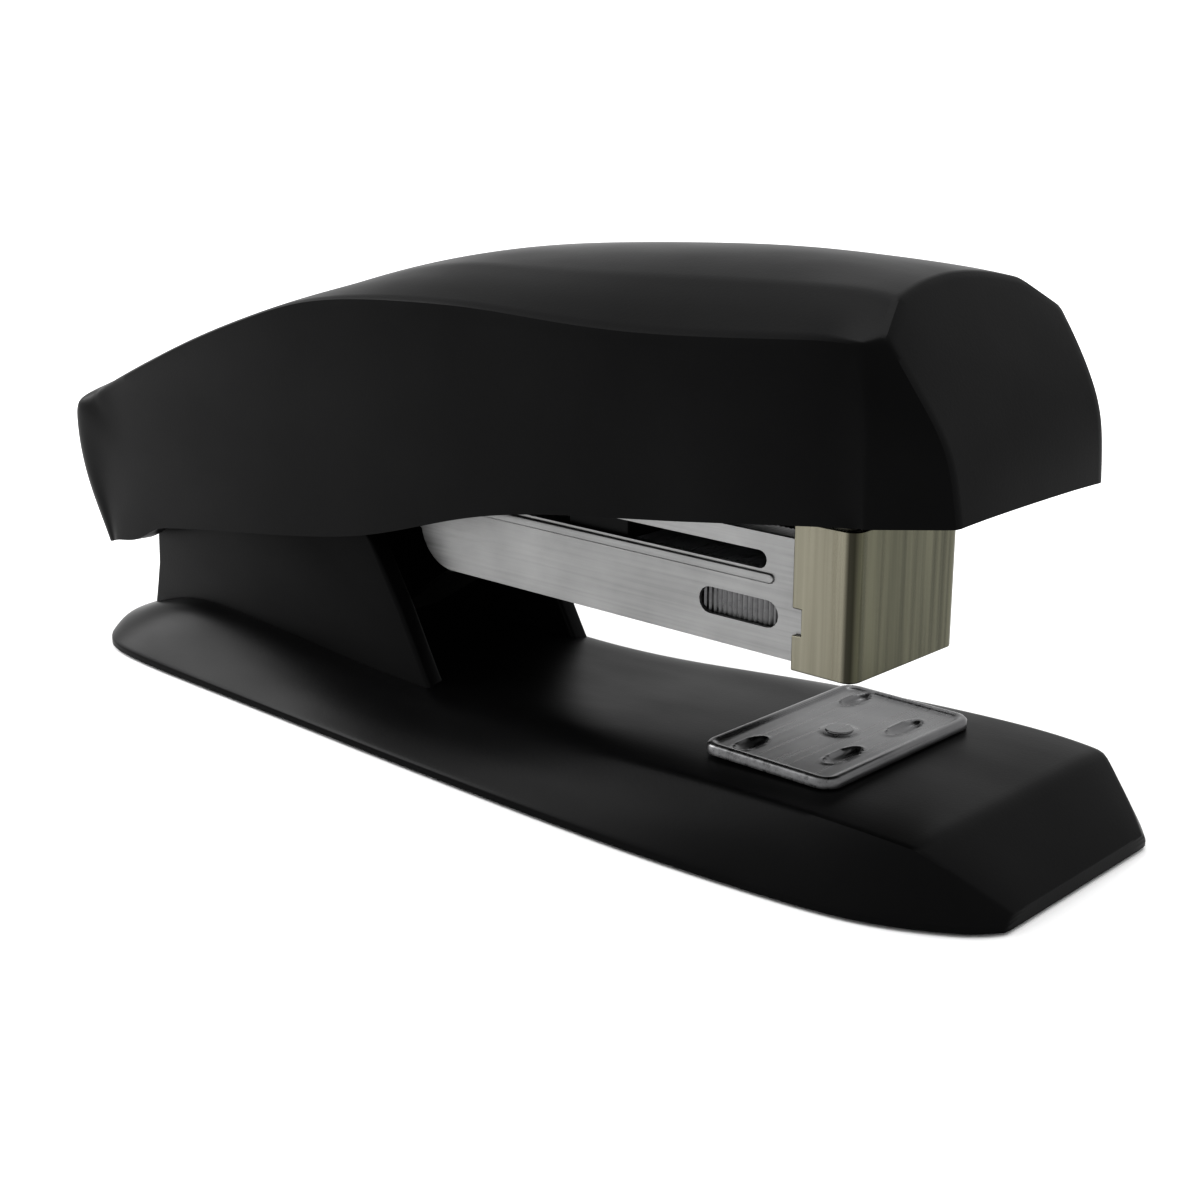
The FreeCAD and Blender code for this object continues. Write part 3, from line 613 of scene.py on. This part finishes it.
# ---- base --------------------------------------------------------------------
# Along the base: x, half width at the ground, half width and height of the top's rounded
# edge, height of the top.
BASE_SECTIONS = [
    (-55.6, 9.0, 8.0, 1.0, 1.3), (-54.6, 11.6, 10.2, 1.7, 2.1), (-52.6, 14.2, 11.8, 2.6, 3.0),
    (-49.5, 16.4, 12.4, 3.6, 4.1), (-45.5, 17.2, 12.8, 5.0, 5.6), (-40.0, 17.6, 13.0, 5.9, 6.8),
    (-33.0, 17.8, 13.0, 5.5, 6.6), (-16.0, 18.2, 13.0, 4.0, 5.3), (-2.0, 18.6, 13.0, 3.4, 4.9),
    (9.0, 18.8, 13.2, 4.1, 5.3), (20.0, 18.9, 13.5, 5.3, 6.2), (30.0, 18.8, 13.8, 6.0, 6.5),
    (41.0, 18.0, 14.2, 6.4, 6.6), (48.0, 17.1, 14.3, 6.4, 6.6), (52.4, 15.4, 14.0, 6.1, 6.3),
    (56.4, 13.1, 11.5, 3.2, 3.4), (57.6, 11.7, 10.5, 2.2, 2.35), (58.4, 10.6, 9.9, 1.5, 1.6),
]
base_top = through([(row[0], row[4]) for row in BASE_SECTIONS])


def base_cage():
    """Ground edge, low lip, skirt, rounded edge and top in mirrored rows, open underneath.

    The vertex group thins the wall where the base is too low for its full thickness.
    """
    rows = []
    for x, half, edge, edge_z, top in BASE_SECTIONS:
        lip = min(0.9, edge_z * 0.5)
        skirt = (mix(half, edge, 0.5) + 0.2, mix(lip, edge_z, 0.55))
        half_row = [(half, RIM_Z), (half, lip), skirt, (edge, edge_z), (edge * 0.82, top),
                    (edge * 0.42, top), (0, top)]
        row = [(x, y, z) for y, z in half_row]
        rows.append([(x, -y, z) for x, y, z in row] + row[-2::-1])
    width = len(rows[0])
    points = [point for row in rows for point in row]
    faces = []
    for r in range(len(rows) - 1):
        for c in range(width - 1):
            faces.append((r * width + c, r * width + c + 1, (r + 1) * width + c + 1,
                          (r + 1) * width + c))
    last = (len(rows) - 1) * width
    faces += [tuple(range(width)), tuple(range(last + width - 1, last - 1, -1))]
    cage = new_object("base_outside", points, faces)
    wall = cage.vertex_groups.new(name="wall")
    for r, section in enumerate(BASE_SECTIONS):
        room = max(0.1, min(1.0, (section[3] - 0.9) / (1.5 * WALL)))
        wall.add(range(r * width, (r + 1) * width), room, "REPLACE")
    lip_column, edge_column = 1, 3
    slope_top, last_row = 14, len(BASE_SECTIONS) - 1
    store = cage.data.attributes.new("crease_edge", "FLOAT", "EDGE")
    for edge in cage.data.edges:
        a, b = sorted(edge.vertices)
        row_a, row_b = a // width, b // width
        column_a, column_b = a % width, b % width
        mirrored = min(column_a, width - 1 - column_a)
        inner = min(mirrored, min(column_b, width - 1 - column_b))
        value = 0.0
        if column_a == column_b:
            if mirrored == lip_column:
                value = 0.5
            if mirrored == edge_column:
                value = mix(0.15, 0.9, max(0.0, min(1.0, (row_a - 8) / 4)))
        elif row_a == row_b:
            if row_a == slope_top and inner >= edge_column:
                value = 0.45
            if row_a == last_row:
                value = 0.8
        store.data[edge.index].value = value
    return cage


def cheek(side):
    """A hinge cheek: its front edge runs down to the base, its rear foot flares out."""
    outline = [(-3.5, 3.4), (-4.2, 4.8), (-5.0, 6.2), (-6.0, 8.0), (-7.9, 11.5), (-9.9, 14.7),
               (-11.8, 17.8), (-13.8, 19.8), (-17.0, 22.0), (-23.0, 24.0), (-30.0, 25.5)]
    outline += arc(PIN.x, PIN.z, 5.2, 60, 185, 14)
    outline += [(-47.9, 17.0), (-47.4, 12.6), (-47.6, 9.0), (-48.2, 6.3), (-48.8, 3.9),
                (-48.8, 2.7), (-40.0, 3.0)]
    near, far = sorted((side * CHEEK_IN, side * CHEEK_OUT))
    plate = prism_y("cheek", outline, near, far)
    soft_edges(plate, 0.45, 40, 3)
    return plate


def base_shell():
    outside = base_cage()
    outward(outside)
    modifier(outside, "SUBSURF", levels=3, render_levels=3)
    modifier(outside, "SOLIDIFY", thickness=WALL * MM, offset=-1, use_even_offset=False,
             vertex_group="wall")
    parts = [outside]
    for side in (-1, 1):
        parts.append(cheek(side))
    web = [(-47.9, 4.0), (-45.9, 4.0), (-45.9, 18.4), (-47.9, 18.4)]
    parts.append(prism_y("web", web, -CHEEK_IN - 0.4, CHEEK_IN + 0.4))
    parts.append(turned("seat", ANVIL_X, 0, [(2.3, 5.0), (5.0, 5.0), (4.6, 6.5), (4.3, 6.68),
                                             (2.3, 6.68)]))
    for x in (-38.0, 16.0):
        parts.append(turned("boss", x, 0, [(0.95, 2.42), (2.6, 2.42), (2.8, base_top(x) - 0.6),
                                           (0.95, base_top(x) - 0.6)]))
    moulding = joined("base_moulding", parts)
    for vertex in moulding.data.vertices:
        vertex.co.z = max(vertex.co.z, RIM_Z * MM)
    return moulding


finished(shade(base_shell()), BLACK, "base", "black_plastic", "base_shell")


# ---- sole --------------------------------------------------------------------
def sole():
    """Rubber pad with a tread of cross grooves, and a hole for the button."""
    ring = [(row[0], row[1] - 3.4) for row in BASE_SECTIONS if -49 < row[0] < 45]
    outline = ring + [(x, -y) for x, y in ring[::-1]]
    pad = prism_z("sole_pad", outline, 0.0, 1.4)
    cutters = [turned("hole", ANVIL_X, 0, [(5.6, -1), (5.6, 3)])]
    cutters += [turned("pocket", x, 0, [(2.3, 0.4), (2.3, 3)]) for x in (-38.0, 16.0)]
    for k in range(26):
        x = -39.0 + 3.1 * k
        if abs(x - ANVIL_X) > 7.5:
            groove = [(x - 0.45, -0.5), (x + 0.45, -0.5), (x + 0.25, 0.45), (x - 0.25, 0.45)]
            cutters.append(prism_y("groove", groove, -12.2, 12.2))
    for cutter in cutters:
        modifier(pad, "BOOLEAN", object=cutter, operation="DIFFERENCE", solver="EXACT")
    settle(pad)
    for cutter in cutters:
        bpy.data.objects.remove(cutter)
    return pad


finished(shade(sole(), 25), RUBBER, "base", "sole_rubber", "base_sole")


# ---- anvil -------------------------------------------------------------------
def anvil_plate():
    """Pressed steel plate: raised rim, four boat-shaped grooves, riveted neck."""
    step = 0.2
    count_x = round(2 * ANVIL_HALF_X / step)
    count_y = round(2 * ANVIL_HALF_Y / step)
    grooves = [(3.6, 4.4, 2.3), (3.6, -4.4, 2.3), (-3.6, 7.4, 1.9), (-3.6, -7.4, 1.9)]

    def height(u, v):
        edge = min(ANVIL_HALF_X - abs(u), ANVIL_HALF_Y - abs(v))
        rim = min(1.0, max(0.0, (edge - 0.55) / 0.5))
        z = ANVIL_TOP - 0.26 * rim * rim * (3 - 2 * rim)
        if edge < 0.25:
            z -= 0.25 - edge
        for gu, gv, long_half in grooves:
            reach = ((u - gu) / 0.85) ** 2 + ((v - gv) / long_half) ** 2
            if reach < 1.6:
                dip = max(0.0, 1 - reach)
                lip = math.exp(-((reach - 1.15) / 0.22) ** 2)
                z += 0.07 * lip - 0.52 * dip ** 0.6
        boss = math.hypot(u, v)
        if boss < 1.7:
            z += 0.2 * math.cos(boss / 1.7 * math.pi / 2) ** 0.5
        return min(z, ANVIL_TOP)

    def corner_pull(u, v):
        """Round the plate's corners in plan."""
        radius = 1.6
        du = abs(u) - (ANVIL_HALF_X - radius)
        dv = abs(v) - (ANVIL_HALF_Y - radius)
        if du <= 0 or dv <= 0:
            return u, v
        longest = max(du, dv)
        scale = longest / math.hypot(du, dv)
        u = math.copysign(ANVIL_HALF_X - radius + du * scale, u)
        v = math.copysign(ANVIL_HALF_Y - radius + dv * scale, v)
        return u, v

    points = []
    for i in range(count_x + 1):
        for j in range(count_y + 1):
            u = -ANVIL_HALF_X + i * step
            v = -ANVIL_HALF_Y + j * step
            pu, pv = corner_pull(u, v)
            points.append((ANVIL_X + pu, pv, height(u, v)))
    width = count_y + 1
    faces = []
    for i in range(count_x):
        for j in range(count_y):
            a = i * width + j
            faces.append((a, a + width, a + width + 1, a + 1))
    rim = [i * width for i in range(count_x + 1)]
    rim += [count_x * width + j for j in range(1, count_y + 1)]
    rim += [i * width + count_y for i in range(count_x - 1, -1, -1)]
    rim += [j for j in range(count_y - 1, 0, -1)]
    start = len(points)
    for k in rim:
        points.append((points[k][0], points[k][1], ANVIL_LOW))
    for k in range(len(rim)):
        after = (k + 1) % len(rim)
        faces.append((rim[after], rim[k], start + k, start + after))
    faces.append(tuple(start + k for k in range(len(rim))))
    return outward(new_object("anvil_pressing", points, faces))


finished(shade(anvil_plate(), 60), ANVIL_STEEL, "anvil", "anvil_steel", "anvil_plate")


# ---- springs -----------------------------------------------------------------
def coil(name, start, end, radius_start, radius_end, wire, turns, closed=1.25):
    """A compression spring between two points, its end turns closed up."""
    start, end = Vector(start), Vector(end)
    axis = (end - start).normalized()
    across = axis.orthogonal().normalized()
    beside = axis.cross(across)
    length = (end - start).length
    steps = int(turns * 20)
    path = []
    for step in range(steps + 1):
        turn = turns * step / steps
        lead = min(turn, closed) * 2 * wire + max(0.0, turn - (turns - closed)) * 2 * wire
        open_turns = min(max(turn - closed, 0.0), turns - 2 * closed)
        open_pitch = (length - 2 * wire - 4 * wire * closed) / (turns - 2 * closed)
        along = wire + lead + open_turns * open_pitch
        radius = mix(radius_start, radius_end, along / length)
        angle = 2 * math.pi * turn
        path.append(start + axis * along
                    + radius * (across * math.cos(angle) + beside * math.sin(angle)))
    return tube_along(name, path, wire)


def leaf(name, outline, thickness, half):
    """A strip of spring steel along (x, z) points, smooth and evenly divided."""
    path = through_points(outline, 40)
    upper = []
    for index, point in enumerate(path):
        before = Vector(path[max(index - 1, 0)])
        after = Vector(path[min(index + 1, len(path) - 1)])
        run = (after - before).normalized()
        upper.append((point[0] - run.y * thickness, point[1] + run.x * thickness))
    points = []
    for low, high in zip(path, upper):
        for y, place in ((-half, low), (half, low), (half, high), (-half, high)):
            points.append((place[0], y, place[1]))
    faces = [(0, 1, 2, 3)]
    for k in range(len(path) - 1):
        for side in range(4):
            a, b = 4 * k + side, 4 * k + (side + 1) % 4
            faces.append((a, b, b + 4, a + 4))
    last = 4 * (len(path) - 1)
    faces.append((last + 3, last + 2, last + 1, last))
    strip = outward(new_object(name, points, faces))
    soft_edges(strip, 0.08, 40)
    return settle(strip)


def through_points(outline, count):
    """Evenly spaced points on smooth curves through an (x, z) outline."""
    xs = through([(k, point[0]) for k, point in enumerate(outline)])
    zs = through([(k, point[1]) for k, point in enumerate(outline)])
    reach = len(outline) - 1
    return [(xs(reach * k / count), zs(reach * k / count)) for k in range(count + 1)]


def springs():
    pusher_coil = coil("pusher_coil", (-5.55, 0, ROD_Z), (12.8, 0, ROD_Z), 1.95, 1.95, 0.22, 15)
    finished(shade(pusher_coil, 60), SPRING_STEEL, None, "spring_steel", "pusher_spring")
    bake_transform(pusher_coil)

    anvil_coil = coil("anvil_coil", (ANVIL_X, 0, 4.75), (ANVIL_X, 0, 1.95), 2.95, 3.9, 0.22, 4)
    finished(shade(anvil_coil, 60), SPRING_STEEL, None, "spring_steel", "anvil_spring")
    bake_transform(anvil_coil)

    rest = [(-31.0, base_top(-31.0) + 0.1), (-26.0, base_top(-26.0) + 0.12),
            (-21.0, base_top(-21.0) + 0.5), (-14.0, 10.0), (-9.0, 13.4), (-6.6, 14.3),
            (-4.6, 14.4)]
    lift = leaf("lift_leaf", rest, 0.4, 4.0)
    finished(shade(lift), SPRING_STEEL, None, "spring_steel", "lift_spring")
    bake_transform(lift)

    rest = [(x, arm_top(x) - ARM_SHEET - LEAF - 0.06) for x in (-33.0, -27.0, -22.0)]
    rest += [(-18.0, 30.6), (-14.6, 27.6), (-13.4, 26.35), (-12.5, 26.3)]
    press = leaf("return_leaf", rest, LEAF, 3.5)
    finished(shade(press), SPRING_STEEL, None, "spring_steel", "return_spring")
    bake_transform(press)


springs()


# ---- staples -----------------------------------------------------------------
def staples():
    """A glued strip of separate staples, each a bent wire with square shoulders."""
    low, high, half, wire = 16.25, 21.97, 6.19, 0.262
    first, last, pitch = 17.35, 38.95, 0.54
    count = int((last - first) / pitch)
    pieces = []
    for k in range(count + 1):
        x = first + k * pitch
        path = [(x, -half, low), (x, -half, high - 0.5), (x, -half + 0.15, high - 0.14),
                (x, -half + 0.5, high), (x, half - 0.5, high), (x, half - 0.15, high - 0.14),
                (x, half, high - 0.5), (x, half, low)]
        pieces.append(tube_along("staple", path, wire, 6))
    return joined("staple_row", pieces)


finished(shade(staples(), 50), WIRE, "magazine", "staple_wire", "staple_strip")


# ---- magazine details --------------------------------------------------------
def slot_outline(x0, x1, z0, z1):
    radius = (z1 - z0) / 2
    middle = (z0 + z1) / 2
    return (arc(x1 - radius, middle, radius, -90, 90, 10)
            + arc(x0 + radius, middle, radius, 90, 270, 10))


def pressed_rib(side):
    """A rib pressed out of the channel's side below the upper slot."""
    near, far = sorted((side * 6.7, side * 7.17))
    rib = prism_y("rib", slot_outline(-6.0, 33.2, 21.25, 22.1), near, far)
    soft_edges(rib, 0.14, 40, 3)
    return rib


finished(shade(joined("magazine_ribs", [pressed_rib(-1), pressed_rib(1)])), MAGAZINE_STEEL,
         "magazine", "magazine_steel")

for node_name in NODE_MATERIALS:
    finish_cad_node(node_name)


# ---- floor, light and camera ---------------------------------------------------
def floor():
    half = 30000
    corners = [(-half, -half, 0), (half, -half, 0), (half, half, 0), (-half, half, 0)]
    surface = new_object("floor", corners, [(0, 1, 2, 3)])
    shader = Shader("pale_floor")
    shader.set(Roughness=0.9, Specular_IOR_Level=0.1)
    tone = shader.ramp(shader.noise(3, 2), (0.86, 0.86, 0.86), (0.9, 0.9, 0.9))
    surface.data.materials.append(shader.feed(tone))


def soft_box(name, place, target, width, height, power):
    data = bpy.data.lights.new(name, "AREA")
    data.shape = "RECTANGLE"
    data.size = width * MM
    data.size_y = height * MM
    data.energy = power
    light = bpy.data.objects.new(name, data)
    light.location = Vector(place) * MM
    aim = Vector(target) - Vector(place)
    light.rotation_euler = aim.to_track_quat("-Z", "Y").to_euler()
    bpy.context.scene.collection.objects.link(light)


floor()
soft_box("top_box", (-60, 160, 620), (0, 0, 20), 420, 300, 0.9)
soft_box("rear_box", (-420, -160, 260), (-40, 0, 20), 260, 260, 1.25)

world = bpy.data.worlds.new("studio")
world.use_nodes = True
world.node_tree.nodes["Background"].inputs["Color"].default_value = (1, 1, 1, 1)
world.node_tree.nodes["Background"].inputs["Strength"].default_value = 0.95
bpy.context.scene.world = world
bpy.context.scene.view_settings.view_transform = "Standard"
bpy.context.scene.view_settings.look = "High Contrast"

HEADING, PITCH = math.radians(42.88), math.radians(16.42)
camera_data = bpy.data.cameras.new("camera")
camera_data.sensor_width = 36
camera_data.lens = 57
camera = bpy.data.objects.new("camera", camera_data)
camera.location = Vector((122.97, -124.19, 63.28)) * MM
camera.rotation_euler = (math.pi / 2 - PITCH, 0, HEADING)
camera_data.clip_start = 0.005
bpy.context.scene.collection.objects.link(camera)
bpy.context.scene.camera = camera
